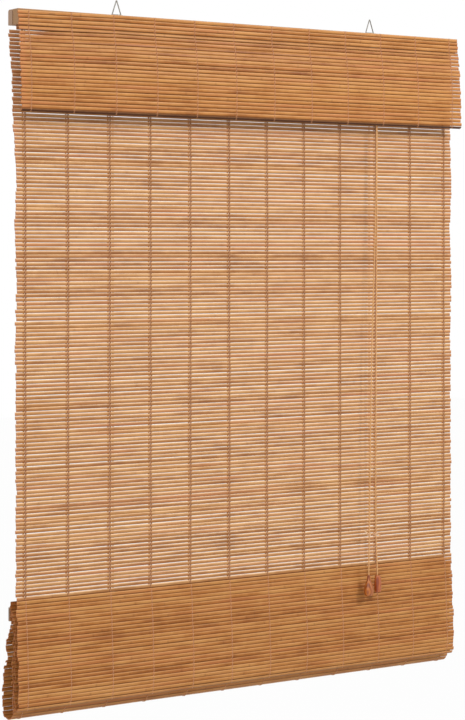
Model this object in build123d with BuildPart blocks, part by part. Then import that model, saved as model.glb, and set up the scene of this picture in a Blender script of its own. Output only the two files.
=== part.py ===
from build123d import *
from math import atan2, cos, degrees, floor, radians, sin, tan
import os

os.makedirs("parts", exist_ok=True)

# A bamboo blind with a wooden head rail, hung by two wire triangles and drawn up by two cords.
# It is modelled partly raised, with its lower end drawn up into two folds.
# X runs along the rail, -Y is the room side and +Z is up. Sizes are in millimetres.
# The origin is on the rail's top, midway between the hangers, in the plane of the hanging mat.

# Slats and weave, shared by all the mats
mat_width = 900.0
slat_height = 5.2
slat_gap = 1.1
slat_thickness = 1.8
web_thickness = 0.8
edge_strip = 7.0

# Lengths of the mats
main_length = 945.0
closed_length = 189.0
valance_length = 163.8
seat_gap = 0.3

# Head rail, two boards that clamp the top of the main mat
rail_left = -456.0
rail_right = 450.0
rail_height = 25.0
back_board_depth = 14.0
front_board_depth = 18.0
rail_round = 4.0
rail_edge_break = 0.8
mat_top_drop = 3.0

# Screws
screw_radius = 1.6
screw_head_radius = 3.2
screw_head_height = 1.6
screw_fit = 0.05
mat_screw_margin = 0.5
rail_screw_length = 26.0
rail_screw_inset = 32.0
rail_screw_count = 4
short_screw_length = 12.0

# Hangers, a wire triangle in a bent steel strap
hanger_place = 263.0
hanger_wire_radius = 1.0
hanger_base = 20.0
hanger_rise = 28.0
hanger_corner = 1.8
hanger_butt_gap = 0.4
hinge_clearance = 0.2
strap_width = 12.0
strap_length = 25.0
strap_thickness = 1.0
strap_screw_spread = 8.0

# Valance flap and its staples
valance_overhang = 1.0
valance_bulge = 9.5
valance_bulge_drop = 60.0
staple_inset = 60.0
staple_count = 6
staple_width = 10.0
staple_wire = 0.6
staple_leg = 8.0

# Cords
cord_radius = 1.0
cord_sides = 8
cord_clearance = 0.3
bend_easing = 0.2
lift_cord_place = 265.0
lift_cord_y = 8.0
cord_level = 11.0
pull_cord_y = -18.5
left_hang = (
    (264.2, -20.2, -164.0),
    (260.8, -19.2, -370.0),
    (253.5, -18.5, -540.0),
)
left_knot = (248.3, -18.3, -890.0)
left_lead = (246.8, -18.5, -952.0)
right_hang = (
    (265.8, -18.1, -164.0),
    (264.6, -18.7, -370.0),
    (263.5, -18.5, -540.0),
)
right_knot = (262.0, -18.4, -890.0)
right_lead = (266.5, -18.5, -952.0)
knot_bend_radius = 60.0
tail_bend_radius = 2.5
tail_corner_drop = 9.2
lift_knot_drop = 12.0

# Cord lock under the rail
lock_left = 250.0
lock_width = 25.0
lock_front = -19.0
lock_depth = 32.0
lock_height = 21.0
lock_wall = 1.2
lock_window = 5.0
lock_bar_radius = 3.2
lock_cord_left = 259.5
lock_cord_right = 268.0
lock_screw_front_y = -6.5
lock_screw_back_y = 8.5
lock_notch_margin = 2.0

# Locking roller, which jams the cords against the front bar
roller_radius = 2.8
roller_pin_radius = 1.0
roller_rest_y = -12.5
roller_travel = 4.0
roller_slope = 12.0
running_clearance = 0.2

# Screw eye over the left lift cord
eye_inner_radius = 4.0
eye_wire_radius = 1.1
eye_shank_depth = 12.0

# Cord rings on the back of the mat
ring_inner_radius = 3.6
ring_outer_radius = 5.2
ring_thickness = 1.6
ring_sides = 12
upper_ring_drop = 248.0
lower_ring_drop = 598.0
stack_ring_drop = 2.0

# Folded stack at the bottom
front_fold_depth = 170.0
front_fold_bulge = 8.0
front_fold_width = 10.4
top_fold_depth = 17.0
top_fold_front_y = 5.5
top_fold_width = 7.0
rear_fold_depth = 189.0
rear_fold_front_y = 9.0
rear_fold_width = 36.0
hem_y = 19.4
hem_drop = 9.0

# Shape of the folds, as shares of their depth and width
front_bend_share = 0.6
front_slat_share = 1.1
fold_corner_share = 0.48
rear_corner_share = 0.45
rear_belly_share = 0.55
rear_belly_depth_share = 0.66
hem_bend_share = 0.33

# Bottom batten behind the hem
batten_depth = 5.0
batten_height = 22.0
batten_drop = 12.0
batten_edge_break = 1.0

# Ends of the pull cords
tassel_left_x = 247.0
tassel_right_x = 267.0
tassel_top = 962.0
tassel_height = 37.0
tassel_radius = 7.5
tassel_neck_radius = 3.2
tassel_neck_height = 8.0
tassel_shoulder_radius = 5.8
tassel_shoulder_drop = 16.0
tassel_upper_drop = 24.0
tassel_lower_drop = 30.0
tassel_foot_radius = 5.6
tassel_bore_radius = 1.6
tassel_recess_radius = 4.2
tassel_recess_depth = 9.0
barrel_top = 964.0
barrel_height = 30.0
barrel_radius = 6.0
barrel_neck_radius = 4.0
barrel_foot_radius = 5.0
barrel_recess_radius = 4.0
barrel_upper_drop = 10.0
barrel_lower_drop = 22.0
knot_radius = 2.8
knot_tail_length = 9.0
knot_tail_radius = 0.8

# Places worked out from the sizes above
slat_pitch = slat_height + slat_gap
mat_face = slat_thickness / 2
main_rows = round(main_length / slat_pitch)
closed_rows = round(closed_length / slat_pitch)
open_gaps = main_rows - closed_rows
valance_rows = round(valance_length / slat_pitch)
main_top = -mat_top_drop
stack_top = main_top - main_rows * slat_pitch
rail_length = rail_right - rail_left
screw_spacing = (rail_length - 2 * rail_screw_inset) / (rail_screw_count - 1)
rail_screw_places = [rail_left + rail_screw_inset + i * screw_spacing for i in range(rail_screw_count)]
staple_spacing = (rail_length - 2 * staple_inset) / (staple_count - 1)
staple_places = [rail_left + staple_inset + i * staple_spacing for i in range(staple_count)]
board_inner = mat_face + seat_gap
board_back = board_inner + back_board_depth
board_front = -board_inner - front_board_depth
rail_middle = -rail_height / 2
valance_y = board_front - seat_gap - mat_face
cord_z = -rail_height - cord_level
bend_radius = lock_bar_radius + cord_radius + cord_clearance
front_bar_y = pull_cord_y + bend_radius
rear_bar_y = lift_cord_y - bend_radius
bar_z = cord_z - bend_radius
ring_y = mat_face + seat_gap + ring_outer_radius
hanger_wire_z = hanger_wire_radius + hinge_clearance


def slat_places(path, first, rows):
    """Place and lean of each slat along a path drawn in the YZ plane."""
    places = []
    for row in range(first, first + rows):
        along = slat_height / 2 + row * slat_pitch
        spot = path.position_at(along, position_mode=PositionMode.LENGTH)
        lean = path.tangent_at(along, position_mode=PositionMode.LENGTH)
        places.append(Location((spot.X, spot.Y, 0), (0, 0, degrees(atan2(lean.Y, lean.X)))))
    return places


def add_slats(path, first, rows, left=-mat_width / 2, right=mat_width / 2):
    """Add slats to the open part, along a path in the YZ plane, counted from a first row."""
    with BuildSketch(Plane.YZ.offset(left)) as slats:
        with Locations(*slat_places(path, first, rows)):
            Rectangle(slat_height, slat_thickness)
    extrude(slats.sketch, amount=right - left)


def add_web(path, thickness=web_thickness, left=-mat_width / 2, right=mat_width / 2):
    """Add a web to the open part, the whole length of a path in the YZ plane."""
    with BuildSketch(Plane.YZ.offset(left)) as web:
        trace(path, line_width=thickness)
    extrude(web.sketch, amount=right - left)


def arc_radii(points):
    """The largest arc for each corner of a route, which leaves a tenth of each run straight."""
    radii = []
    for before, corner, after in zip(points, points[1:], points[2:]):
        arriving = Vector(*corner) - Vector(*before)
        leaving = Vector(*after) - Vector(*corner)
        half_turn = radians(arriving.get_angle(leaving)) / 2
        radii.append(0.45 * min(arriving.length, leaving.length) / tan(half_turn))
    return radii


def countersunk_screw():
    """A wood screw with its head's top at the origin, pointing down -Z."""
    with BuildPart() as screw:
        with BuildSketch(Plane.XZ):
            with BuildLine():
                Polyline(
                    (0, 0),
                    (screw_head_radius, 0),
                    (screw_radius, -screw_head_height),
                    (screw_radius, -rail_screw_length),
                    (0, -rail_screw_length),
                    close=True,
                )
            make_face()
        revolve(axis=Axis.Z)
    return screw.part


def cap_head_screw():
    """A short screw with the underside of its round head at the origin, pointing down -Z."""
    with BuildPart() as screw:
        with BuildSketch():
            Circle(screw_head_radius)
        extrude(amount=screw_head_height)
        with BuildSketch():
            Circle(screw_radius)
        extrude(amount=-short_screw_length)
    return screw.part


def knot_body():
    """A small eight sided knot with its middle at the origin."""
    with BuildPart() as knot:
        with BuildSketch(Plane.XY.offset(-knot_radius)):
            RegularPolygon(knot_radius, 8)
        extrude(amount=2 * knot_radius)
        ends = knot.faces().filter_by(Axis.Z)
        chamfer(ends.edges(), length=0.4 * knot_radius)
    return knot.part


# Places of the screws that point up and down
strap_screw_places = []
for side in (-1, 1):
    for y in (-strap_screw_spread, strap_screw_spread):
        strap_screw_places.append((side * hanger_place, y, strap_thickness))
lock_middle = lock_left + lock_width / 2
lock_screw_z = -rail_height - lock_wall
lock_screw_places = [
    (lock_middle, lock_screw_front_y, lock_screw_z),
    (lock_middle, lock_screw_back_y, lock_screw_z),
]
pilot_radius = screw_radius + screw_fit

# Screw eye places, with the left lift cord rising over its lower wire
eye_bend_radius = eye_wire_radius + cord_radius + cord_clearance / 2
eye_x = -lift_cord_place + eye_bend_radius
eye_middle_radius = eye_inner_radius + eye_wire_radius
eye_z = cord_z - eye_bend_radius + eye_middle_radius
eye_top = eye_z + eye_middle_radius

# Back board of the rail
with BuildPart() as rail_back_board:
    with BuildSketch(Plane.YZ.offset(rail_left)):
        with Locations((board_inner + back_board_depth / 2, rail_middle)):
            Rectangle(back_board_depth, rail_height)
    extrude(amount=rail_length)
    long_edges = rail_back_board.edges().filter_by(Axis.X)
    back_edges = long_edges.group_by(Axis.Y)[-1]
    fillet(back_edges.sort_by(Axis.Z)[-1], radius=rail_round)
    fillet(back_edges.sort_by(Axis.Z)[0], radius=rail_edge_break)
    for x in rail_screw_places:
        with Locations(Location((x, board_back, rail_middle), (-90, 0, 0))):
            CounterSinkHole(pilot_radius, screw_head_radius + screw_fit, counter_sink_angle=90)
    for x, y, z in strap_screw_places:
        if y > 0:
            with Locations((x, y, 0)):
                Hole(pilot_radius, depth=short_screw_length)
    with Locations(Location((lock_middle, lock_screw_back_y, -rail_height), (180, 0, 0))):
        Hole(pilot_radius, depth=short_screw_length)
    with Locations(Location((eye_x, lift_cord_y, -rail_height), (180, 0, 0))):
        Hole(eye_wire_radius + screw_fit, depth=eye_shank_depth)
rail_back_board.part.label = "rail_back_board"
export_step(rail_back_board.part, "parts/rail_back_board.step")

# Front board of the rail
with BuildPart() as rail_front_board:
    with BuildSketch(Plane.YZ.offset(rail_left)):
        with Locations((board_front + front_board_depth / 2, rail_middle)):
            Rectangle(front_board_depth, rail_height)
    extrude(amount=rail_length)
    front_edges = rail_front_board.edges().filter_by(Axis.X).group_by(Axis.Y)[0]
    fillet(front_edges, radius=rail_edge_break)
    for x in rail_screw_places:
        with Locations(Location((x, -board_inner, rail_middle), (-90, 0, 0))):
            Hole(pilot_radius, depth=rail_screw_length - back_board_depth)
    for x, y, z in strap_screw_places:
        if y < 0:
            with Locations((x, y, 0)):
                Hole(pilot_radius, depth=short_screw_length)
    with Locations(Location((lock_middle, lock_screw_front_y, -rail_height), (180, 0, 0))):
        Hole(pilot_radius, depth=short_screw_length)
rail_front_board.part.label = "rail_front_board"
export_step(rail_front_board.part, "parts/rail_front_board.step")

# Screws that clamp the boards on the mat
clamp_screw = countersunk_screw()
with BuildPart() as rail_screws:
    for x in rail_screw_places:
        with Locations(Location((x, board_back, rail_middle), (-90, 0, 0))):
            add(clamp_screw)
rail_screws.part.label = "rail_screws"
export_step(rail_screws.part, "parts/rail_screws.step")

# Main mat: clamped and cut round the lock at its top, with open gaps between its lower slats
closed_end = main_top - closed_rows * slat_pitch
closed_path = Line((0, main_top), (0, closed_end))
open_path = Line((0, closed_end), (0, stack_top + slat_gap))
mat_screw_slot = screw_radius + mat_screw_margin
notch_left = lock_left - lock_notch_margin
notch_width = lock_width + 2 * lock_notch_margin
notch_height = rail_height + lock_height + lock_notch_margin - mat_top_drop
with BuildPart() as main_mat:
    add_slats(closed_path, 0, closed_rows)
    add_web(closed_path)
    with BuildSketch(Plane.XZ.offset(-slat_thickness)):
        with Locations((notch_left + notch_width / 2, main_top - notch_height / 2)):
            Rectangle(notch_width, notch_height)
        for x in rail_screw_places:
            with Locations((x, rail_middle)):
                Rectangle(2 * mat_screw_slot, 2 * mat_screw_slot)
    extrude(amount=2 * slat_thickness, mode=Mode.SUBTRACT)
    add_web(open_path, slat_thickness)
    with BuildSketch(Plane.XZ.offset(-slat_thickness)):
        first_gap_z = closed_end + slat_gap / 2
        with Locations(*[(0, first_gap_z - row * slat_pitch) for row in range(open_gaps)]):
            Rectangle(mat_width - 2 * edge_strip, slat_gap)
    extrude(amount=2 * slat_thickness, mode=Mode.SUBTRACT)
main_mat.part.label = "main_mat"
export_step(main_mat.part, "parts/main_mat.step")

# Valance flap: flat on the front board, bowing out below it
valance_rail_z = -rail_height
valance_bulge_z = valance_rail_z - valance_bulge_drop
valance_bottom = -(valance_rows * slat_pitch)
valance_path = FilletPolyline(
    (valance_y, 0),
    (valance_y, valance_rail_z),
    (valance_y - valance_bulge, valance_bulge_z),
    (valance_y - valance_bulge, valance_bottom),
    radius=valance_bulge_drop,
)
valance_left = rail_left - valance_overhang
valance_right = rail_right - valance_overhang
staple_z = -slat_height - slat_gap / 2
with BuildPart() as valance_mat:
    add_slats(valance_path, 0, valance_rows, valance_left, valance_right)
    add_web(valance_path, web_thickness, valance_left, valance_right)
    with BuildSketch(Plane.XZ.offset(-valance_y - mat_face)):
        with Locations(*[(x, staple_z) for x in staple_places]):
            Rectangle(staple_width + 2 * cord_clearance, slat_gap)
    extrude(amount=slat_thickness, mode=Mode.SUBTRACT)
valance_mat.part.label = "valance_mat"
export_step(valance_mat.part, "parts/valance_mat.step")

# Staples that hold the valance, with their crowns over its second slat
staple_half = staple_width / 2
staple_crown_y = valance_y - mat_face - staple_wire / 2
with BuildPart() as valance_staples:
    for x in staple_places:
        with BuildSketch(Plane.XY.offset(staple_z - staple_wire / 2)):
            with Locations((x, staple_crown_y)):
                Rectangle(staple_width, staple_wire)
            for side in (-1, 1):
                with Locations((x + side * (staple_half - staple_wire / 2), staple_crown_y + staple_leg / 2)):
                    Rectangle(staple_wire, staple_leg)
        extrude(amount=staple_wire)
valance_staples.part.label = "valance_staples"
export_step(valance_staples.part, "parts/valance_staples.step")

# Hanger straps: a flat plate with a half round hump over the wire
hump_inner = hanger_wire_radius + hinge_clearance
hump_outer = hump_inner + strap_thickness
for side, name in ((-1, "hanger_strap_left"), (1, "hanger_strap_right")):
    with BuildPart() as strap:
        with BuildSketch(Plane.YZ.offset(side * hanger_place - strap_width / 2)):
            with Locations((0, strap_thickness / 2)):
                Rectangle(strap_length, strap_thickness)
            with Locations((0, hanger_wire_z)):
                Circle(hump_outer)
            with Locations((0, -hump_outer)):
                Rectangle(4 * hump_outer, 2 * hump_outer, mode=Mode.SUBTRACT)
            with Locations((0, hanger_wire_z)):
                Circle(hump_inner, mode=Mode.SUBTRACT)
            with Locations((0, hanger_wire_z / 2)):
                Rectangle(2 * hump_inner, hanger_wire_z, mode=Mode.SUBTRACT)
        extrude(amount=strap_width)
        strap_corners = strap.edges().filter_by(Axis.Z).group_by(Axis.Y)
        fillet(strap_corners[0] + strap_corners[-1], radius=strap_width / 4)
        with Locations(
            (side * hanger_place, -strap_screw_spread, strap_thickness),
            (side * hanger_place, strap_screw_spread, strap_thickness),
        ):
            Hole(pilot_radius, depth=strap_thickness)
    strap.part.label = name
    export_step(strap.part, "parts/" + name + ".step")

# Screws through the straps and the lock
cap_screw = cap_head_screw()
with BuildPart() as strap_screws:
    with Locations(*strap_screw_places):
        add(cap_screw)
strap_screws.part.label = "strap_screws"
export_step(strap_screws.part, "parts/strap_screws.step")

with BuildPart() as cord_lock_screws:
    for place in lock_screw_places:
        with Locations(Location(place, (180, 0, 0))):
            add(cap_screw)
cord_lock_screws.part.label = "cord_lock_screws"
export_step(cord_lock_screws.part, "parts/cord_lock_screws.step")

# Hanger wires: a bent triangle whose ends butt inside the strap
for side, name in ((-1, "hanger_left"), (1, "hanger_right")):
    middle = side * hanger_place
    base_half = hanger_base / 2 - hanger_wire_radius
    apex_z = hanger_wire_z + hanger_rise - 2 * hanger_wire_radius
    with BuildPart() as hanger:
        with BuildLine() as wire:
            FilletPolyline(
                (middle - hanger_butt_gap / 2, 0, hanger_wire_z),
                (middle - base_half, 0, hanger_wire_z),
                (middle, 0, apex_z),
                (middle + base_half, 0, hanger_wire_z),
                (middle + hanger_butt_gap / 2, 0, hanger_wire_z),
                radius=hanger_corner,
            )
        with BuildSketch(Plane(origin=wire.line @ 0, z_dir=wire.line % 0)):
            RegularPolygon(hanger_wire_radius, 6)
        sweep()
    hanger.part.label = name
    export_step(hanger.part, "parts/" + name + ".step")

# Cord lock: an open channel with a slot for the roller in each side and a window for the left cord
roller_z = cord_z + cord_radius + cord_clearance + roller_radius
slot_lean = -roller_slope
slot_middle_y = roller_rest_y - cos(radians(roller_slope)) * roller_travel / 2
slot_middle_z = roller_z + sin(radians(roller_slope)) * roller_travel / 2
slot_radius = roller_pin_radius + running_clearance
lock_top = -rail_height
lock_back = lock_front + lock_depth
with BuildPart() as cord_lock_housing:
    with BuildSketch(Plane.XZ.offset(-lock_back)):
        with Locations((lock_middle, lock_top - lock_height / 2)):
            Rectangle(lock_width, lock_height)
        with Locations((lock_middle, lock_top - lock_wall - lock_height / 2)):
            Rectangle(lock_width - 2 * lock_wall, lock_height, mode=Mode.SUBTRACT)
    extrude(amount=lock_depth)
    lower_edges = cord_lock_housing.edges().filter_by(Axis.X).group_by(Axis.Z)[0]
    fillet(lower_edges, radius=lock_bar_radius)
    with BuildSketch(Plane.YZ.offset(lock_left)):
        with Locations((front_bar_y, bar_z), (rear_bar_y, bar_z)):
            Circle(lock_bar_radius + screw_fit)
        with Locations(Location((slot_middle_y, slot_middle_z, 0), (0, 0, slot_lean))):
            SlotCenterToCenter(roller_travel, 2 * slot_radius)
    extrude(amount=lock_width, mode=Mode.SUBTRACT)
    with BuildSketch(Plane.YZ.offset(lock_left)):
        with Locations((lift_cord_y, cord_z)):
            Circle(lock_window / 2)
    extrude(amount=lock_wall, mode=Mode.SUBTRACT)
    with Locations(*lock_screw_places):
        Hole(pilot_radius, depth=2 * lock_wall)
cord_lock_housing.part.label = "cord_lock_housing"
export_step(cord_lock_housing.part, "parts/cord_lock_housing.step")

# Bars that the cords bend over, riveted in the housing's sides
with BuildPart() as cord_lock_bars:
    for y in (front_bar_y, rear_bar_y):
        with Locations(Location((lock_middle, y, bar_z), (0, 90, 0))):
            Cylinder(lock_bar_radius, lock_width)
cord_lock_bars.part.label = "cord_lock_bars"
export_step(cord_lock_bars.part, "parts/cord_lock_bars.step")

# Guide post that turns the left cord towards the front
post_x = lock_cord_left - bend_radius
post_top = lock_top - lock_wall
post_bottom = bar_z + lock_bar_radius + cord_clearance
with BuildPart() as cord_guide_post:
    with BuildSketch(Plane.XY.offset(post_bottom)):
        with Locations((post_x, lift_cord_y - bend_radius)):
            Circle(lock_bar_radius)
    extrude(amount=post_top - post_bottom)
cord_guide_post.part.label = "cord_guide_post"
export_step(cord_guide_post.part, "parts/cord_guide_post.step")

# Locking roller with its pins
roller_length = lock_width - 2 * lock_wall - 4 * running_clearance
with BuildPart() as lock_roller:
    with Locations(Location((lock_middle, roller_rest_y, roller_z), (0, 90, 0))):
        Cylinder(roller_radius, roller_length)
        Cylinder(roller_pin_radius, lock_width + 2 * roller_pin_radius)
lock_roller.part.label = "lock_roller"
export_step(lock_roller.part, "parts/lock_roller.step")

# Screw eye over the left lift cord
with BuildPart() as screw_eye:
    with BuildSketch(Plane.XY.offset(eye_z)):
        with Locations((eye_x, lift_cord_y + eye_middle_radius)):
            RegularPolygon(eye_wire_radius, 6)
    revolve(axis=Axis((eye_x, lift_cord_y, eye_z), (1, 0, 0)))
    with BuildSketch(Plane.XY.offset(eye_top)):
        with Locations((eye_x, lift_cord_y)):
            Circle(eye_wire_radius)
    extrude(amount=eye_shank_depth - rail_height - eye_top)
screw_eye.part.label = "screw_eye"
export_step(screw_eye.part, "parts/screw_eye.step")

# Lift cords: up behind the mat, round the eye or bar, and forward over the lock's front bar
tail_corner = Vector(lift_cord_y, stack_top - tail_corner_drop)
hem_ring_y = hem_y - mat_face - seat_gap - ring_thickness / 2
lift_knot_y = hem_ring_y - ring_thickness / 2 - seat_gap - knot_radius
lift_knot = Vector(lift_knot_y, stack_top - lift_knot_drop)
tail_run = lift_knot - tail_corner
tail_end = tail_corner + tail_run * (1 - (knot_radius + 2 * cord_clearance) / tail_run.length)
with BuildPart() as lift_cord_left:
    with BuildLine() as left_route:
        FilletPolyline(
            (-lift_cord_place, tail_end.X, tail_end.Y),
            (-lift_cord_place, tail_corner.X, tail_corner.Y),
            (-lift_cord_place, lift_cord_y, cord_z),
            (lock_cord_left, lift_cord_y, cord_z),
            (lock_cord_left, front_bar_y, cord_z),
            radius=(tail_bend_radius, eye_bend_radius, bend_radius),
        )
    with BuildSketch(Plane(origin=left_route.line @ 0, z_dir=left_route.line % 0)):
        RegularPolygon(cord_radius, cord_sides)
    sweep()
lift_cord_left.part.label = "lift_cord_left"
export_step(lift_cord_left.part, "parts/lift_cord_left.step")

with BuildPart() as lift_cord_right:
    with BuildLine() as right_route:
        FilletPolyline(
            (lock_cord_right, tail_end.X, tail_end.Y),
            (lock_cord_right, tail_corner.X, tail_corner.Y),
            (lock_cord_right, lift_cord_y, cord_z),
            (lock_cord_right, front_bar_y, cord_z),
            radius=(tail_bend_radius, bend_radius),
        )
    with BuildSketch(Plane(origin=right_route.line @ 0, z_dir=right_route.line % 0)):
        RegularPolygon(cord_radius, cord_sides)
    sweep()
lift_cord_right.part.label = "lift_cord_right"
export_step(lift_cord_right.part, "parts/lift_cord_right.step")

# Pull cords: down from the front bar to a knot inside each wooden end
left_end = (tassel_left_x, pull_cord_y, tassel_recess_depth - tassel_top - tassel_height)
right_end = (tassel_right_x, pull_cord_y, tassel_recess_depth - barrel_top - barrel_height)
pull_cords = (
    ("left", lock_cord_left, left_hang, left_knot, left_lead, left_end),
    ("right", lock_cord_right, right_hang, right_knot, right_lead, right_end),
)
pull_routes = []
for side, x, hang, knot, lead, end in pull_cords:
    points = [(x, front_bar_y, cord_z), (x, pull_cord_y, cord_z), *hang, knot, lead, end]
    radii = arc_radii(points)
    radii[0] = bend_radius - bend_easing
    radii[-2] = knot_bend_radius
    with BuildPart() as pull_cord:
        with BuildLine() as pull_route:
            FilletPolyline(*points, radius=radii)
        with BuildSketch(Plane(origin=pull_route.line @ 0, z_dir=pull_route.line % 0)):
            RegularPolygon(cord_radius, cord_sides)
        sweep()
    name = "pull_cord_" + side
    pull_routes.append((name, pull_route.line, pull_cord.part))
    pull_cord.part.label = name
    export_step(pull_cord.part, "parts/" + name + ".step")

# Turned wooden ends: an acorn on the left cord and a barrel on the right one
with BuildPart() as tassel_left:
    with BuildSketch(Plane.XZ.offset(-pull_cord_y)):
        with BuildLine():
            Polyline(
                (tassel_left_x + tassel_neck_radius, -tassel_top - tassel_neck_height),
                (tassel_left_x + tassel_neck_radius, -tassel_top),
                (tassel_left_x, -tassel_top),
                (tassel_left_x, -tassel_top - tassel_height),
                (tassel_left_x + tassel_foot_radius, -tassel_top - tassel_height),
                (tassel_left_x + tassel_radius, -tassel_top - tassel_lower_drop),
                (tassel_left_x + tassel_radius, -tassel_top - tassel_upper_drop),
                (tassel_left_x + tassel_shoulder_radius, -tassel_top - tassel_shoulder_drop),
                close=True,
            )
        make_face()
    revolve(axis=Axis((tassel_left_x, pull_cord_y, 0), (0, 0, 1)))
    with Locations((tassel_left_x, pull_cord_y, -tassel_top)):
        Hole(tassel_bore_radius, depth=tassel_height)
    with Locations(Location((tassel_left_x, pull_cord_y, -tassel_top - tassel_height), (180, 0, 0))):
        Hole(tassel_recess_radius, depth=tassel_recess_depth)
tassel_left.part.label = "tassel_left"
export_step(tassel_left.part, "parts/tassel_left.step")

with BuildPart() as tassel_right:
    with BuildSketch(Plane.XZ.offset(-pull_cord_y)):
        with BuildLine():
            Polyline(
                (tassel_right_x + barrel_neck_radius, -barrel_top),
                (tassel_right_x, -barrel_top),
                (tassel_right_x, -barrel_top - barrel_height),
                (tassel_right_x + barrel_foot_radius, -barrel_top - barrel_height),
                (tassel_right_x + barrel_radius, -barrel_top - barrel_lower_drop),
                (tassel_right_x + barrel_radius, -barrel_top - barrel_upper_drop),
                close=True,
            )
        make_face()
    revolve(axis=Axis((tassel_right_x, pull_cord_y, 0), (0, 0, 1)))
    with Locations((tassel_right_x, pull_cord_y, -barrel_top)):
        Hole(tassel_bore_radius, depth=barrel_height)
    with Locations(Location((tassel_right_x, pull_cord_y, -barrel_top - barrel_height), (180, 0, 0))):
        Hole(barrel_recess_radius, depth=tassel_recess_depth)
tassel_right.part.label = "tassel_right"
export_step(tassel_right.part, "parts/tassel_right.step")

# Stop knots in the recesses of the wooden ends
end_knot = knot_body()
with BuildPart() as tassel_knots:
    for end_x, end_y, end_z in (left_end, right_end):
        with Locations((end_x, end_y, end_z - cord_clearance / 2 - knot_radius)):
            add(end_knot)
tassel_knots.part.label = "tassel_knots"
export_step(tassel_knots.part, "parts/tassel_knots.step")

# Cord knots above the wooden ends, each round its cord with a short tail
for side, name, (knot_x, knot_y, knot_z) in (
    (-1, "cord_knot_left", left_knot),
    (1, "cord_knot_right", right_knot),
):
    with BuildPart() as cord_knot:
        with Locations((knot_x, knot_y, knot_z)):
            add(end_knot)
            Hole(cord_radius + cord_clearance)
        with BuildSketch(Plane.YZ.offset(knot_x + side * 0.7 * knot_radius)):
            with Locations((knot_y, knot_z)):
                RegularPolygon(knot_tail_radius, 6)
        extrude(amount=side * knot_tail_length)
    cord_knot.part.label = name
    export_step(cord_knot.part, "parts/" + name + ".step")

# Folded stack: the rest of the mat, hung in two loops, with its hem behind
last_fold_z = stack_top - hem_drop
stack_path = FilletPolyline(
    (0, stack_top),
    (-front_fold_bulge, stack_top - front_bend_share * front_fold_depth),
    (-front_fold_bulge, stack_top - front_fold_depth),
    (front_fold_width - front_fold_bulge, stack_top - front_fold_depth),
    (top_fold_front_y, stack_top - top_fold_depth),
    (top_fold_front_y + top_fold_width, stack_top - top_fold_depth),
    (rear_fold_front_y, stack_top - rear_fold_depth),
    (rear_fold_front_y + rear_fold_width, stack_top - rear_fold_depth),
    (hem_y + rear_belly_share * rear_fold_width, stack_top - rear_belly_depth_share * rear_fold_depth),
    (hem_y, stack_top - hem_bend_share * rear_fold_depth),
    (hem_y, last_fold_z),
    radius=(
        2 * front_fold_depth,
        fold_corner_share * front_fold_width,
        fold_corner_share * front_fold_width,
        fold_corner_share * top_fold_width,
        fold_corner_share * top_fold_width,
        rear_corner_share * rear_fold_width,
        rear_corner_share * rear_fold_width,
        hem_bend_share * rear_fold_depth,
        hem_bend_share * rear_fold_depth,
    ),
)
stack_rows = floor((stack_path.length + slat_gap) / slat_pitch)
front_rows = floor(front_slat_share * front_fold_depth / slat_pitch)
rear_rows = floor((rear_fold_depth + rear_fold_width) / slat_pitch)
with BuildPart() as folded_mat:
    add_slats(stack_path, 0, front_rows)
    add_slats(stack_path, stack_rows - rear_rows, rear_rows)
    add_web(stack_path)
folded_mat.part.label = "folded_mat"
export_step(folded_mat.part, "parts/folded_mat.step")

# Bottom batten, tied behind the hem
batten_y = hem_y + mat_face + seat_gap + batten_depth / 2
batten_z = stack_top - batten_drop - batten_height / 2
with BuildPart() as bottom_batten:
    with BuildSketch(Plane.YZ.offset(-mat_width / 2)):
        with Locations((batten_y, batten_z)):
            RectangleRounded(batten_depth, batten_height, batten_edge_break)
    extrude(amount=mat_width)
bottom_batten.part.label = "bottom_batten"
export_step(bottom_batten.part, "parts/bottom_batten.step")

# Cord rings: three at each cord on the stack, and two more up the mat
with BuildPart() as flat_ring:
    with BuildSketch(Plane.XY.offset(-ring_thickness / 2)):
        RegularPolygon(ring_outer_radius, ring_sides)
        RegularPolygon(ring_inner_radius, ring_sides, mode=Mode.SUBTRACT)
    extrude(amount=ring_thickness)
stack_ring_z = stack_top - stack_ring_drop
fold_ring_z = stack_ring_z - ring_thickness - seat_gap
fold_ring_y = lift_cord_y + ring_inner_radius - cord_radius - cord_clearance
hem_ring_z = last_fold_z - ring_outer_radius / 2
with BuildPart() as stack_rings:
    for x in (-lift_cord_place, lock_cord_right):
        with Locations((x, ring_y, stack_ring_z)):
            add(flat_ring.part)
        with Locations((x, fold_ring_y, fold_ring_z)):
            add(flat_ring.part)
        with Locations(Location((x, hem_ring_y, hem_ring_z), (90, 0, 0))):
            add(flat_ring.part)
stack_rings.part.label = "stack_rings"
export_step(stack_rings.part, "parts/stack_rings.step")

for drop, name in ((upper_ring_drop, "upper_rings"), (lower_ring_drop, "lower_rings")):
    with BuildPart() as mat_rings:
        for x in (-lift_cord_place, lock_cord_right):
            with Locations((x, ring_y, -drop)):
                add(flat_ring.part)
    mat_rings.part.label = name
    export_step(mat_rings.part, "parts/" + name + ".step")

# Knots at the lower ends of the lift cords
with BuildPart() as lift_cord_knots:
    for x in (-lift_cord_place, lock_cord_right):
        with Locations((x, lift_knot.X, lift_knot.Y)):
            add(end_knot)
lift_cord_knots.part.label = "lift_cord_knots"
export_step(lift_cord_knots.part, "parts/lift_cord_knots.step")

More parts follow.
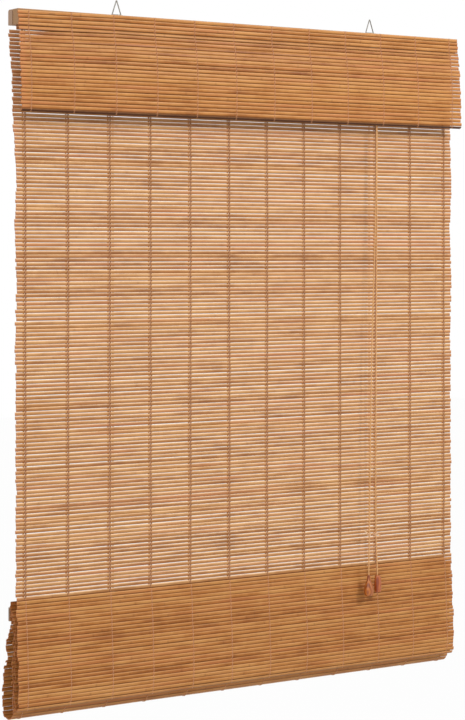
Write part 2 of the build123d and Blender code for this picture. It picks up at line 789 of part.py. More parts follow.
# Arcs and volumes of the cord tubes
cord_routes = (
    ("lift_cord_left", left_route.line, lift_cord_left.part),
    ("lift_cord_right", right_route.line, lift_cord_right.part),
) + tuple(pull_routes)
section = cord_sides / 2 * cord_radius**2 * sin(radians(360 / cord_sides))
for name, route, tube in cord_routes:
    arcs = [round(edge.radius, 2) for edge in route.edges().filter_by(GeomType.CIRCLE)]
    length = sum(edge.length for edge in route.edges())
    print(name, "arc radii", arcs, "length", round(length, 1))
    print(name, "volume", round(tube.volume, 1), "section times length", round(section * length, 1))
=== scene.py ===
from math import cos, pi, radians, sin

import bmesh
import bpy
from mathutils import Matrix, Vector


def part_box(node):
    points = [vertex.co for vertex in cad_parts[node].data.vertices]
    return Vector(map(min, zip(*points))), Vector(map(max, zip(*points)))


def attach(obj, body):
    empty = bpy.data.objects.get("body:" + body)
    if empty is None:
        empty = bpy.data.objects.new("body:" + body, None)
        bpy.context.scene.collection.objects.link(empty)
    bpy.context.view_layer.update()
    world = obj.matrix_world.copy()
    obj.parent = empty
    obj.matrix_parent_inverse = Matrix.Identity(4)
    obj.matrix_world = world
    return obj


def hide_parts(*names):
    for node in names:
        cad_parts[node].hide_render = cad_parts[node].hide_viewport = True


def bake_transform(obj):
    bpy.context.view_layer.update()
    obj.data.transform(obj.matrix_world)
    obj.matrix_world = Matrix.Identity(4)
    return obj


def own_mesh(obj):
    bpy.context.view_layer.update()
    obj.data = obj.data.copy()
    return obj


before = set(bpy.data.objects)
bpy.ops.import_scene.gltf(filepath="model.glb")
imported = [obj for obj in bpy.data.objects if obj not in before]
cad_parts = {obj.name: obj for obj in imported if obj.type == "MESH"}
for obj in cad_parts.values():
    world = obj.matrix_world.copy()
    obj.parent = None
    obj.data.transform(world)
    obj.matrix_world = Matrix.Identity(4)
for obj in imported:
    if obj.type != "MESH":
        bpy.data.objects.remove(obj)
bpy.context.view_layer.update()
scene = bpy.context.scene

# Weave, in metres: the pitch and thickness of the solids' slats
SLAT_HEIGHT = 0.0052
SLAT_GAP = 0.0011
SLAT_THICKNESS = 0.0018
PITCH = SLAT_HEIGHT + SLAT_GAP
THREAD_LINES = 12
FIRST_THREAD_X = -0.4346
THREAD_SPACING = 0.07885
THREAD_WANDER = 0.0024

# Levels and places that the mats share
STACK_TOP = -0.948
MAT_TOP = -0.0073
MAT_LEFT, MAT_RIGHT = -0.450, 0.450
VALANCE_LEFT, VALANCE_RIGHT = -0.457, 0.449
HELD_ROWS = 4
FREE_TOP = MAT_TOP - HELD_ROWS * PITCH
MAT_END_GAP = 0.0008

# Cords and what hangs on them
CORD_RADIUS = 0.001
FLUFF_SCALE = 900.0
LIFT_CORD_XS = (-0.265, 0.268)
PULL_KNOT_LEVEL = -0.890
ACORN_X, BARREL_X, WOODEN_END_Y = 0.247, 0.267, -0.0185
ACORN_TOP, BARREL_TOP = -0.962, -0.964
WOODEN_END_BORE = 0.0017
KNOT_SIZE, PULL_KNOT_SIZE = 0.0008, 0.0011

# Rings, hangers and screw eye
RING_RADIUS, RING_SECTION = 0.0044, 0.0008
RING_Y = 0.0064
STACK_RINGS = ((RING_Y, 0.002, False), (0.0103, 0.0039, False), (0.0174, 0.0116, True))
WIRE_RADIUS = 0.001
WIRE_Z = 0.0012
APEX_Z = WIRE_Z + 0.028 - 0.002
HANGER_X, HANGER_CORNER = 0.263, 0.009
EYE_Y = 0.008
EYE_RADIUS, EYE_WIRE_RADIUS = 0.0051, 0.0011

FLOOR_Z = -1.9


def srgb(red, green, blue):
    """A colour given in 0 to 255, as the linear value that the sockets take."""
    parts = [c / 255 for c in (red, green, blue)]
    return tuple(c / 12.92 if c <= 0.04045 else ((c + 0.055) / 1.055) ** 2.4 for c in parts) + (1.0,)


# Camera, at the photograph's place in front and to the left
camera_data = bpy.data.cameras.new("camera")
camera_data.sensor_fit = "AUTO"
camera_data.sensor_width = 36
camera_data.lens = 106.4
camera_data.shift_y = -0.154
camera = bpy.data.objects.new("camera", camera_data)
camera.location = (-2.066, -3.015, -0.3835)
camera.rotation_euler = (radians(90), 0, radians(-34))
scene.collection.objects.link(camera)
scene.camera = camera


# Nodes, for geometry and finishes alike


def put(tree, kind, values=None, **settings):
    """Add a node: set its own settings, then set or link its inputs by name."""
    made = tree.nodes.new(kind)
    for name, value in settings.items():
        setattr(made, name, value)
    for name, value in (values or {}).items():
        if isinstance(name, int):
            socket = made.inputs[name]
        else:
            socket = next(s for s in made.inputs if s.name == name and s.enabled)
        fill(tree, socket, value)
    return made


def fill(tree, socket, value):
    """Link a socket to another one, or give it a value."""
    if isinstance(value, bpy.types.NodeSocket):
        tree.links.new(value, socket)
    else:
        socket.default_value = value


def calc(tree, operation, *values):
    """The result of a Math node."""
    return put(tree, "ShaderNodeMath", dict(enumerate(values)), operation=operation).outputs[0]


def plus(tree, first, second):
    """The sum of two values."""
    return calc(tree, "ADD", first, second)


def minus(tree, first, second):
    """The first value less the second."""
    return calc(tree, "SUBTRACT", first, second)


def times(tree, first, second):
    """The product of two values."""
    return calc(tree, "MULTIPLY", first, second)


def vector(tree, x=0.0, y=0.0, z=0.0):
    """A vector put together from three numbers."""
    return put(tree, "ShaderNodeCombineXYZ", {"X": x, "Y": y, "Z": z}).outputs[0]


def vector_calc(tree, operation, first, second):
    """The result of a Vector Math node on two vectors."""
    return put(tree, "ShaderNodeVectorMath", {0: first, 1: second}, operation=operation).outputs[0]


def parts_of(tree, place):
    """The three parts of a vector."""
    return put(tree, "ShaderNodeSeparateXYZ", {"Vector": place}).outputs


def stretched(tree, parts, scales):
    """A place with each of its three parts scaled."""
    return vector(tree, *(times(tree, part, scale) for part, scale in zip(parts, scales)))


# Geometry trees and the meshes that they make


def new_tree(name, sizes):
    """A Geometry Nodes tree whose inputs are the named sizes, each with its kind of socket."""
    tree = bpy.data.node_groups.new(name, "GeometryNodeTree")
    tree.interface.new_socket("Geometry", in_out="INPUT", socket_type="NodeSocketGeometry")
    for size, kind in sizes.items():
        tree.interface.new_socket(size, in_out="INPUT", socket_type="NodeSocket" + kind)
    tree.interface.new_socket("Geometry", in_out="OUTPUT", socket_type="NodeSocketGeometry")
    return tree, tree.nodes.new("NodeGroupInput").outputs, tree.nodes.new("NodeGroupOutput").inputs


def finish_tree(tree, geometry, sizes, result):
    """Real geometry with its finish, smooth apart from sharp corners."""
    real = put(tree, "GeometryNodeRealizeInstances", {"Geometry": geometry}).outputs[0]
    angle = put(tree, "GeometryNodeInputMeshEdgeAngle").outputs["Unsigned Angle"]
    sharp = calc(tree, "GREATER_THAN", angle, radians(50))
    smooth = put(tree, "GeometryNodeSetShadeSmooth",
                 {"Geometry": real, "Selection": sharp, "Shade Smooth": False}, domain="EDGE").outputs[0]
    painted = put(tree, "GeometryNodeSetMaterial", {"Geometry": smooth, "Material": sizes["Finish"]})
    tree.links.new(painted.outputs[0], result["Geometry"])


def grow(name, seed_mesh, tree, sizes):
    """Run a tree on a mesh and keep the plain mesh that it makes, as a piece at the origin."""
    piece = bpy.data.objects.new(name, seed_mesh)
    scene.collection.objects.link(piece)
    modifier = piece.modifiers.new("grow", "NODES")
    modifier.node_group = tree
    for socket in tree.interface.items_tree:
        if socket.in_out == "INPUT" and socket.name in sizes:
            modifier[socket.identifier] = sizes[socket.name]
    depsgraph = bpy.context.evaluated_depsgraph_get()
    mesh = bpy.data.meshes.new_from_object(piece.evaluated_get(depsgraph), depsgraph=depsgraph)
    piece.modifiers.clear()
    piece.data = mesh
    mesh.name = name
    return piece


def soft_line(points, closed=False):
    """The smooth line that a NURBS spline draws with these control points, as a mesh of edges."""
    curve = bpy.data.curves.new("line", "CURVE")
    curve.dimensions = "3D"
    curve.resolution_u = 12
    spline = curve.splines.new("NURBS")
    spline.points.add(len(points) - 1)
    for spot, place in zip(spline.points, points):
        spot.co = (*place, 1)
    spline.order_u = 3
    spline.use_endpoint_u = not closed
    spline.use_cyclic_u = closed
    line = bpy.data.objects.new("line", curve)
    mesh = bpy.data.meshes.new_from_object(line)
    bpy.data.objects.remove(line)
    return mesh


def line_points(points):
    """The same smooth line as a list of points."""
    return [v.co.copy() for v in soft_line(points).vertices]


def finished(name, mesh, finish):
    """A piece from a mesh: faces outwards, smooth but for sharp edges, with its finish."""
    work = bmesh.new()
    work.from_mesh(mesh)
    bmesh.ops.recalc_face_normals(work, faces=work.faces)
    work.to_mesh(mesh)
    work.free()
    mesh.shade_smooth()
    mesh.set_sharp_from_angle(angle=radians(40))
    mesh.materials.append(finish)
    piece = bpy.data.objects.new(name, mesh)
    scene.collection.objects.link(piece)
    return piece


def joined(name, parts):
    """Several meshes made one piece."""
    whole = bmesh.new()
    for part in parts:
        whole.from_mesh(part.data)
    mesh = bpy.data.meshes.new(name)
    whole.to_mesh(mesh)
    whole.free()
    for finish in parts[0].data.materials:
        mesh.materials.append(finish)
    for part in parts:
        bpy.data.objects.remove(part)
    piece = bpy.data.objects.new(name, mesh)
    scene.collection.objects.link(piece)
    return piece


def belongs(piece, body, node=None):
    """Give a piece the body that carries it, and hide the node, if any, whose place it takes."""
    if node:
        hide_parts(node)
    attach(piece, body)


# Finishes


def new_finish(name, roughness=0.5, metallic=0.0, coat=0.0):
    """A material with its shader, and the tree and shader to work on."""
    finish = bpy.data.materials.new(name)
    finish.use_nodes = True
    tree = finish.node_tree
    shader = tree.nodes["Principled BSDF"]
    shader.inputs["Roughness"].default_value = roughness
    shader.inputs["Metallic"].default_value = metallic
    shader.inputs["Coat Weight"].default_value = coat
    shader.inputs["Coat Roughness"].default_value = 0.25
    return finish, tree, shader


def noise(tree, place, scale=1.0, detail=3.0, roughness=0.5):
    """The value of a Noise texture at a place."""
    return put(tree, "ShaderNodeTexNoise", {
        "Vector": place, "Scale": scale, "Detail": detail, "Roughness": roughness,
    }).outputs[0]


def line_noise(tree, place):
    """A slow Noise texture along one number."""
    return put(tree, "ShaderNodeTexNoise", {"W": place, "Scale": 1.0, "Detail": 1.0},
               noise_dimensions="1D").outputs[0]


def ramp(tree, factor, stops):
    """A colour ramp through (place, colour) stops."""
    made = put(tree, "ShaderNodeValToRGB", {"Fac": factor})
    while len(made.color_ramp.elements) < len(stops):
        made.color_ramp.elements.new(0.5)
    for element, (place, colour) in zip(made.color_ramp.elements, stops):
        element.position = place
        element.color = colour
    return made.outputs["Color"]


def blend_colours(tree, factor, first, second, kind="MIX"):
    """Two colours mixed by a factor."""
    made = put(tree, "ShaderNodeMix", data_type="RGBA", blend_type=kind)
    for number, value in ((0, factor), (6, first), (7, second)):
        fill(tree, made.inputs[number], value)
    return made.outputs[2]


def shaded_by(tree, colour, value):
    """A colour made lighter or darker by a number."""
    return blend_colours(tree, 1.0, colour, vector(tree, value, value, value), "MULTIPLY")


def spread(tree, value, low, high, new_low=0.0, new_high=1.0):
    """A value moved from one range to another, and kept inside it."""
    return put(tree, "ShaderNodeMapRange", {
        "Value": value, "From Min": low, "From Max": high, "To Min": new_low, "To Max": new_high,
    }).outputs[0]


def place_on_piece(tree):
    """The place on the piece, in its own coordinates."""
    return put(tree, "ShaderNodeTexCoord").outputs["Object"]


def attribute(tree, name):
    """A number that the piece's mesh carries."""
    return put(tree, "ShaderNodeAttribute", attribute_name=name).outputs["Fac"]


def cut_end(tree, low):
    """One on the cut ends, which face along X, and nothing on the long sides."""
    normal = put(tree, "ShaderNodeNewGeometry").outputs["Normal"]
    return spread(tree, calc(tree, "ABSOLUTE", parts_of(tree, normal)[0]), low, 0.9)


def roughen(tree, shader, height, distance, strength):
    """A bump on the shader from a height."""
    bump = put(tree, "ShaderNodeBump", {"Height": height, "Distance": distance, "Strength": strength})
    tree.links.new(bump.outputs[0], shader.inputs["Normal"])


def bamboo(name, deep, middle, pale, blush, dark_joint_and_shade, upper, shine=0.9, hem=None, crease=None):
    """Split and lacquered bamboo: a tint for each slat, fibres, blushed ends, painted light and shade."""
    finish, tree, shader = new_finish(name, roughness=0.5, coat=0.05)
    shader.inputs["Specular IOR Level"].default_value = 0.25
    place = place_on_piece(tree)
    x, y, z = parts_of(tree, place)
    tint = attribute(tree, "slat_tint")
    across = attribute(tree, "slat_across")
    own = times(tree, tint, 61.0)

    def along_slat(stretch, shift, detail, roughness=0.5):
        """Noise drawn out along a slat, and different on each one."""
        return noise(tree, vector(tree, times(tree, x, stretch), own, shift), 1.0, detail, roughness)

    patches = along_slat(13.0, 0.0, 4.0, 0.62)
    fibres = noise(tree, vector(tree, times(tree, x, 14.0), times(tree, across, 1500.0), own), 1.0, 4.0, 0.6)
    tone = plus(tree, times(tree, tint, 0.4), spread(tree, patches, 0.28, 0.72, 0.05, 0.65))
    colour = ramp(tree, tone, ((0.15, deep), (0.45, middle), (0.85, pale)))
    colour = blend_colours(tree, spread(tree, along_slat(5.0, 7.0, 1.0), 0.54, 0.7, 0.0, 0.65), colour, blush)
    colour = blend_colours(tree, spread(tree, along_slat(9.0, 3.0, 2.0), 0.62, 0.7, 0.0, 0.3), colour, deep)
    colour = shaded_by(tree, colour, spread(tree, fibres, 0.3, 0.7, 0.8, 1.1))

    # Joints of the cane, blushed ends, painted light on the upper side and painted shade on the lower side
    along_joint = calc(tree, "FRACT", plus(tree, times(tree, x, 3.3), times(tree, tint, 17.0)))
    joint = spread(tree, calc(tree, "ABSOLUTE", minus(tree, along_joint, 0.5)), 0.0, 0.009, 0.3, 0.0)
    colour = blend_colours(tree, joint, colour, dark_joint_and_shade)
    end_blush = spread(tree, calc(tree, "ABSOLUTE", x), 0.440, 0.453, 0.0, 0.7)
    colour = blend_colours(tree, end_blush, colour, blush)
    lit = times(tree, spread(tree, across, -0.14 * SLAT_HEIGHT, -0.44 * SLAT_HEIGHT),
                spread(tree, patches, 0.35, 0.65, 0.45 * shine, shine))
    colour = blend_colours(tree, lit, colour, upper)
    shaded = spread(tree, across, 0.16 * SLAT_HEIGHT, 0.5 * SLAT_HEIGHT, 0.0, 0.62)
    colour = blend_colours(tree, shaded, colour, dark_joint_and_shade)

    # Painted shade on the valance: dark lines along its hem and below the rail
    if hem:
        colour = blend_colours(tree, spread(tree, z, hem, hem - 0.0015, 0.0, 0.92), colour, srgb(66, 30, 10))
    if crease:
        crease_shade_mask = spread(tree, calc(tree, "ABSOLUTE", minus(tree, z, crease)), 0.0003, 0.0012, 0.7, 0.0)
        colour = blend_colours(tree, crease_shade_mask, colour, srgb(84, 44, 16))

    speckle = spread(tree, noise(tree, place, 2600.0, 2.0), 0.35, 0.65, 0.6, 1.3)
    cut_colour = shaded_by(tree, blend_colours(tree, 0.85, dark_joint_and_shade, blush), speckle)
    colour = blend_colours(tree, cut_end(tree, 0.7), colour, cut_colour)
    tree.links.new(colour, shader.inputs["Base Color"])
    tree.links.new(spread(tree, fibres, 0.2, 0.8, 0.4, 0.62), shader.inputs["Roughness"])
    roughen(tree, shader, plus(tree, fibres, times(tree, joint, 0.6)), 0.00025, 0.5)
    return finish


def spun(name, colour, shade, gap_shade=None):
    """Twisted cotton or polyester: slanting strands, some fluff, and painted shade where it crosses a gap."""
    finish, tree, shader = new_finish(name, roughness=0.85)
    shader.inputs["Sheen Weight"].default_value = 0.08
    shader.inputs["Specular IOR Level"].default_value = 0.2
    place = place_on_piece(tree)
    x, y, z = parts_of(tree, place)
    slant = plus(tree, plus(tree, x, y), z)
    strands = calc(tree, "SINE", times(tree, slant, 5 * FLUFF_SCALE))
    fluff = noise(tree, place, FLUFF_SCALE, 3.0)
    height = plus(tree, times(tree, strands, 0.35), fluff)
    face = blend_colours(tree, spread(tree, height, 0.1, 0.9), shade, colour)
    # Painted shade on the thread where it lies in a gap between slats
    if gap_shade:
        face = blend_colours(tree, attribute(tree, "thread_in_gap"), face, gap_shade)
    tree.links.new(face, shader.inputs["Base Color"])
    roughen(tree, shader, height, 0.0002, 0.5)
    return finish


def wood_grain(tree, depth, warp, pores, pore_share):
    """Year rings at a depth, bent by a warp, with pores over them."""
    rings = calc(tree, "SINE", plus(tree, depth, warp))
    return plus(tree, spread(tree, rings, -1.0, 1.0, 0.0, 1 - pore_share), times(tree, pores, pore_share))


def sawn_wood(name, dark, light, end_dark, end_light, coat=0.0):
    """Planed wood with its grain along X and year rings on its cut ends."""
    finish, tree, shader = new_finish(name, 0.6, coat=coat)
    place = place_on_piece(tree)
    x, y, z = parts_of(tree, place)
    warp = noise(tree, stretched(tree, (x, y, z), (2.5, 18.0, 18.0)))
    pores = noise(tree, stretched(tree, (x, y, z), (30.0, 1600.0, 1600.0)))
    depth = plus(tree, times(tree, z, 0.75), times(tree, y, 0.5))
    grain = wood_grain(tree, times(tree, depth, 1900.0), times(tree, warp, 16.0), pores, 0.4)
    colour = ramp(tree, grain, ((0.1, dark), (0.75, light)))
    speckle = noise(tree, place, 1800.0, 2.0)
    end = ramp(tree, plus(tree, times(tree, grain, 0.6), times(tree, speckle, 0.4)),
               ((0.25, end_dark), (0.7, end_light)))
    tree.links.new(blend_colours(tree, cut_end(tree, 0.6), colour, end), shader.inputs["Base Color"])
    roughen(tree, shader, grain, 0.0002, 0.35)
    return finish


def turned_wood(name, dark, middle, light, axis_x):
    """Varnished turned wood, with its grain up the piece and a clear coat."""
    finish, tree, shader = new_finish(name, roughness=0.4, coat=0.35)
    x, y, z = parts_of(tree, place_on_piece(tree))
    side = minus(tree, x, axis_x)
    front = minus(tree, y, WOODEN_END_Y)
    warp = noise(tree, stretched(tree, (side, front, z), (60.0, 60.0, 25.0)), 1.0, 2.0)
    pores = noise(tree, stretched(tree, (side, front, z), (1500.0, 1500.0, 120.0)))
    depth = times(tree, plus(tree, side, front), 1500.0)
    grain = wood_grain(tree, depth, times(tree, warp, 9.0), pores, 0.45)
    colour = ramp(tree, grain, ((0.1, dark), (0.4, middle), (0.8, light)))
    tree.links.new(colour, shader.inputs["Base Color"])
    roughen(tree, shader, grain, 0.0001, 0.3)
    return finish


def metal(name, colour, dull, roughness):
    """Plated or bare metal with a mottled, slightly worn face."""
    finish, tree, shader = new_finish(name, roughness, metallic=0.9)
    place = place_on_piece(tree)
    mottle = noise(tree, place, 350.0, 4.0, 0.6)
    colour = blend_colours(tree, spread(tree, mottle, 0.3, 0.7), dull, colour)
    tree.links.new(colour, shader.inputs["Base Color"])
    dullness = spread(tree, mottle, 0.2, 0.8, roughness - 0.08, roughness + 0.15)
    tree.links.new(dullness, shader.inputs["Roughness"])
    roughen(tree, shader, noise(tree, place, 2500.0, 2.0), 0.00005, 0.3)
    return finish


def moulded(name, colour, shade, roughness):
    """Moulded plastic with a fine grain and faint flow marks."""
    finish, tree, shader = new_finish(name, roughness)
    place = place_on_piece(tree)
    flow = noise(tree, place, 120.0, 3.0)
    colour = blend_colours(tree, spread(tree, flow, 0.3, 0.7), shade, colour)
    tree.links.new(colour, shader.inputs["Base Color"])
    dullness = spread(tree, flow, 0.2, 0.8, roughness - 0.06, roughness + 0.1)
    tree.links.new(dullness, shader.inputs["Roughness"])
    roughen(tree, shader, noise(tree, place, 4000.0, 2.0), 0.00004, 0.3)
    return finish


main_bamboo = bamboo("main_bamboo", srgb(156, 98, 50), srgb(188, 128, 72), srgb(212, 156, 98),
                     srgb(202, 132, 86), srgb(140, 84, 44), srgb(254, 212, 164), shine=1.0)
valance_bamboo = bamboo("valance_bamboo", srgb(150, 84, 26), srgb(184, 116, 50), srgb(210, 146, 78),
                        srgb(202, 126, 72), srgb(112, 56, 16), srgb(222, 162, 100), hem=-0.1596,
                        crease=-0.0263)
band_bamboo = bamboo("band_bamboo", srgb(146, 81, 25), srgb(180, 113, 49), srgb(205, 144, 78),
                     srgb(192, 117, 64), srgb(106, 51, 14), srgb(214, 155, 95))
main_thread = spun("main_thread", srgb(204, 148, 104), srgb(168, 114, 74), gap_shade=srgb(142, 86, 52))
band_thread = spun("band_thread", srgb(224, 168, 126), srgb(194, 136, 96), gap_shade=srgb(200, 140, 102))
knot_finish = spun("knot_finish", srgb(252, 214, 172), srgb(226, 176, 130))
cord_finish = spun("cord_finish", srgb(240, 190, 134), srgb(206, 150, 96))
rear_board_wood = sawn_wood("rear_board_wood", srgb(140, 100, 68), srgb(186, 144, 102),
                            srgb(138, 106, 82), srgb(196, 160, 132))
front_board_wood = sawn_wood("front_board_wood", srgb(150, 104, 62), srgb(196, 148, 100),
                             srgb(130, 90, 56), srgb(192, 148, 102))
batten_wood = sawn_wood("batten_wood", srgb(140, 92, 56), srgb(184, 134, 90),
                        srgb(96, 68, 48), srgb(150, 116, 88), coat=0.1)
acorn_wood = turned_wood("acorn_wood", srgb(116, 50, 10), srgb(158, 78, 20), srgb(200, 118, 44), ACORN_X)
barrel_wood = turned_wood("barrel_wood", srgb(128, 50, 14), srgb(166, 76, 24), srgb(196, 108, 46), BARREL_X)
screw_zinc = metal("screw_zinc", srgb(196, 192, 182), srgb(150, 146, 138), 0.32)
strap_zinc = metal("strap_zinc", srgb(176, 172, 164), srgb(128, 124, 118), 0.4)
hanger_steel = metal("hanger_steel", srgb(168, 164, 156), srgb(120, 116, 110), 0.3)
staple_steel = metal("staple_steel", srgb(158, 120, 82), srgb(122, 88, 58), 0.5)
bar_steel = metal("bar_steel", srgb(190, 190, 188), srgb(150, 150, 148), 0.25)
roller_brass = metal("roller_brass", srgb(206, 168, 98), srgb(150, 116, 62), 0.3)
lock_plastic = moulded("lock_plastic", srgb(222, 206, 178), srgb(206, 188, 158), 0.45)
ring_plastic = moulded("ring_plastic", srgb(232, 226, 208), srgb(216, 206, 184), 0.3)


# Tubes for cords and wires


def make_tube_tree():
    """A round tube along the edges of a mesh."""
    tree, sizes, result = new_tree("tube", {
        "Radius": "Float", "Sides": "Int", "Step": "Float", "Finish": "Material",
    })
    line = put(tree, "GeometryNodeMeshToCurve", {"Mesh": sizes["Geometry"]}).outputs[0]
    even = put(tree, "GeometryNodeResampleCurve", {"Curve": line, "Length": sizes["Step"]},
               mode="LENGTH").outputs[0]
    section = put(tree, "GeometryNodeCurvePrimitiveCircle",
                  {"Resolution": sizes["Sides"], "Radius": sizes["Radius"]}).outputs[0]
    tube = put(tree, "GeometryNodeCurveToMesh",
               {"Curve": even, "Profile Curve": section, "Fill Caps": True}).outputs[0]
    finish_tree(tree, tube, sizes, result)
    return tree


tube_tree = make_tube_tree()


def tube_along(name, points, radius, finish, closed=False, sides=10, step=0.003):
    """A round tube along a smooth line."""
    return grow(name, soft_line(points, closed), tube_tree,
                {"Radius": radius, "Sides": sides, "Step": step, "Finish": finish})


# Cords: each one's length and the route of its solid
cord_runs = {
    "pull_cord_left": (0.957, (
        (0.2595, -0.0140, -0.036), (0.2595, -0.0185, -0.036), (0.2600, -0.0187, -0.048),
        (0.2642, -0.0202, -0.164), (0.2608, -0.0192, -0.370), (0.2535, -0.0185, -0.540),
        (0.2483, -0.0183, -0.890), (0.2468, -0.0185, -0.952), (0.2470, -0.0185, -0.990),
    )),
    "pull_cord_right": (0.952, (
        (0.2680, -0.0140, -0.036), (0.2680, -0.0185, -0.036), (0.2678, -0.0185, -0.048),
        (0.2658, -0.0181, -0.164), (0.2646, -0.0187, -0.370), (0.2635, -0.0185, -0.540),
        (0.2620, -0.0184, -0.890), (0.2665, -0.0185, -0.952), (0.2670, -0.0185, -0.985),
    )),
    "lift_cord_left": (1.467, (
        (-0.265, 0.01047, -0.9585), (-0.265, 0.008, -0.9572), (-0.265, 0.008, -0.945),
        (-0.265, 0.008, -0.048), (-0.2662, 0.008, -0.0348), (-0.253, 0.008, -0.036),
        (0.2475, 0.008, -0.036), (0.2595, 0.008, -0.036), (0.2595, -0.004, -0.036), (0.2595, -0.014, -0.036),
    )),
    "lift_cord_right": (0.944, (
        (0.268, 0.01047, -0.9585), (0.268, 0.008, -0.9572), (0.268, 0.008, -0.945),
        (0.268, 0.008, -0.048), (0.268, 0.008, -0.036), (0.268, -0.004, -0.036), (0.268, -0.014, -0.036),
    )),
}

cords = {}
for name, (_, route) in cord_runs.items():
    cords[name] = tube_along(name + "_rope", route, CORD_RADIUS, cord_finish)
    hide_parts(name)

for name in ("lift_cord_left", "lift_cord_right"):
    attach(cords[name], "head")
    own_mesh(cords[name])


# Woven mats: what slats and threads share


def even_rows(tree, path, sizes):
    """How many slats a path holds at about the mat's pitch, and the pitch that fills it with them."""
    length = put(tree, "GeometryNodeCurveLength", {"Curve": path}).outputs[0]
    rows = calc(tree, "ROUND", calc(tree, "DIVIDE", length, sizes["Pitch"]))
    return rows, calc(tree, "DIVIDE", length, rows)


def row_start(tree, row, pitch, sizes):
    """Where a row starts along the path: slats bunch up and spread a little, as hand work does."""
    loose = line_noise(tree, plus(tree, times(tree, row, 0.37), times(tree, sizes["Seed"], 9.1)))
    drift = times(tree, minus(tree, loose, 0.5), sizes["Row Drift"])
    return plus(tree, times(tree, row, pitch), drift)


def spot_on_path(tree, path, along):
    """The place and direction of the path at a distance along it."""
    return put(tree, "GeometryNodeSampleCurve", {"Curves": path, "Length": along}, mode="LENGTH").outputs


def random_value(tree, low, high, sizes, extra):
    """A random number for each slat."""
    return put(tree, "FunctionNodeRandomValue", {
        "Min": low, "Max": high, "Seed": plus(tree, sizes["Seed"], extra),
    }, data_type="FLOAT").outputs[1]


def random_play(tree, play, sizes, extra):
    """A random number for each slat, as far below nothing as above it."""
    return random_value(tree, times(tree, play, -1.0), play, sizes, extra)


def here(tree):
    """The place of each point."""
    return put(tree, "GeometryNodeInputPosition").outputs[0]


def moved(tree, geometry, **to):
    """Geometry with its points set to a Position or moved by an Offset."""
    return put(tree, "GeometryNodeSetPosition", {"Geometry": geometry, **to}).outputs[0]


def marked(tree, geometry, name, value, domain="POINT"):
    """Geometry that carries a number under a name, for its finish to read."""
    return put(tree, "GeometryNodeStoreNamedAttribute", {
        "Geometry": geometry, "Name": name, "Value": value,
    }, data_type="FLOAT", domain=domain).outputs[0]


# Slats


def crowned(tree, part, size):
    """One side of the slat's section, fuller than an ellipse."""
    full = calc(tree, "POWER", calc(tree, "ABSOLUTE", part), 0.75)
    return times(tree, times(tree, full, calc(tree, "SIGN", part)), times(tree, size, 0.5))


def slat_shape(tree, sizes):
    """One slat along X, which knows how far each point lies across it."""
    half_length = times(tree, minus(tree, sizes["Right"], sizes["Left"]), 0.5)
    line = put(tree, "GeometryNodeCurvePrimitiveLine", {
        "Start": vector(tree, times(tree, half_length, -1.0)), "End": vector(tree, half_length),
    }).outputs[0]
    line = put(tree, "GeometryNodeResampleCurve", {"Curve": line, "Count": 6}, mode="COUNT").outputs[0]
    circle = put(tree, "GeometryNodeCurvePrimitiveCircle", {"Resolution": 12, "Radius": 1.0}).outputs[0]
    on_circle = parts_of(tree, here(tree))
    section = moved(tree, circle, Position=vector(
        tree, crowned(tree, on_circle["X"], sizes["Slat Thickness"]),
        crowned(tree, on_circle["Y"], sizes["Slat Height"])))
    slat = put(tree, "GeometryNodeCurveToMesh",
               {"Curve": line, "Profile Curve": section, "Fill Caps": True}).outputs[0]
    return marked(tree, slat, "slat_across", parts_of(tree, here(tree))["Z"])


def slat_middle(tree, row, place, sizes):
    """Where a slat's middle goes: on the path, shifted by its own play and by a slow drift of the edge."""
    middle_x = times(tree, plus(tree, sizes["Left"], sizes["Right"]), 0.5)
    slow = line_noise(tree, plus(tree, times(tree, row, 0.07), sizes["Seed"]))
    end_shift = plus(tree, random_play(tree, sizes["End Play"], sizes, 1),
                     times(tree, minus(tree, slow, 0.5), sizes["Side Drift"]))
    return vector_calc(tree, "ADD", place, vector(tree, plus(tree, middle_x, end_shift)))


def slat_facing(tree, tangent, sizes):
    """How a slat is turned: its height along the path, with a little lean."""
    facing = put(tree, "FunctionNodeAlignRotationToVector", {"Vector": tangent},
                 axis="Z", pivot_axis="X").outputs[0]
    lean = random_play(tree, sizes["Lean Play"], sizes, 2)
    lean = put(tree, "FunctionNodeAxisAngleToRotation", {"Axis": (1, 0, 0), "Angle": lean}).outputs[0]
    return put(tree, "FunctionNodeRotateRotation", {"Rotation": facing, "Rotate By": lean},
               rotation_space="LOCAL").outputs[0]


def swaying(tree, slats, sizes):
    """Slats bent a little along their length, each in its own way."""
    tint = put(tree, "GeometryNodeInputNamedAttribute", {"Name": "slat_tint"}, data_type="FLOAT").outputs[0]
    x, y, z = parts_of(tree, here(tree))
    sway = put(tree, "ShaderNodeTexNoise", {
        "Vector": stretched(tree, (x, tint, z), (4.0, 40.0, 9.0)), "Scale": 1.0, "Detail": 1.0,
    }).outputs[1]
    sway = vector_calc(tree, "SUBTRACT", sway, (0.5, 0.5, 0.5))
    reach = vector(tree, 0.0, times(tree, sizes["Wave"], 0.6), sizes["Wave"])
    return moved(tree, slats, Offset=vector_calc(tree, "MULTIPLY", sway, reach))


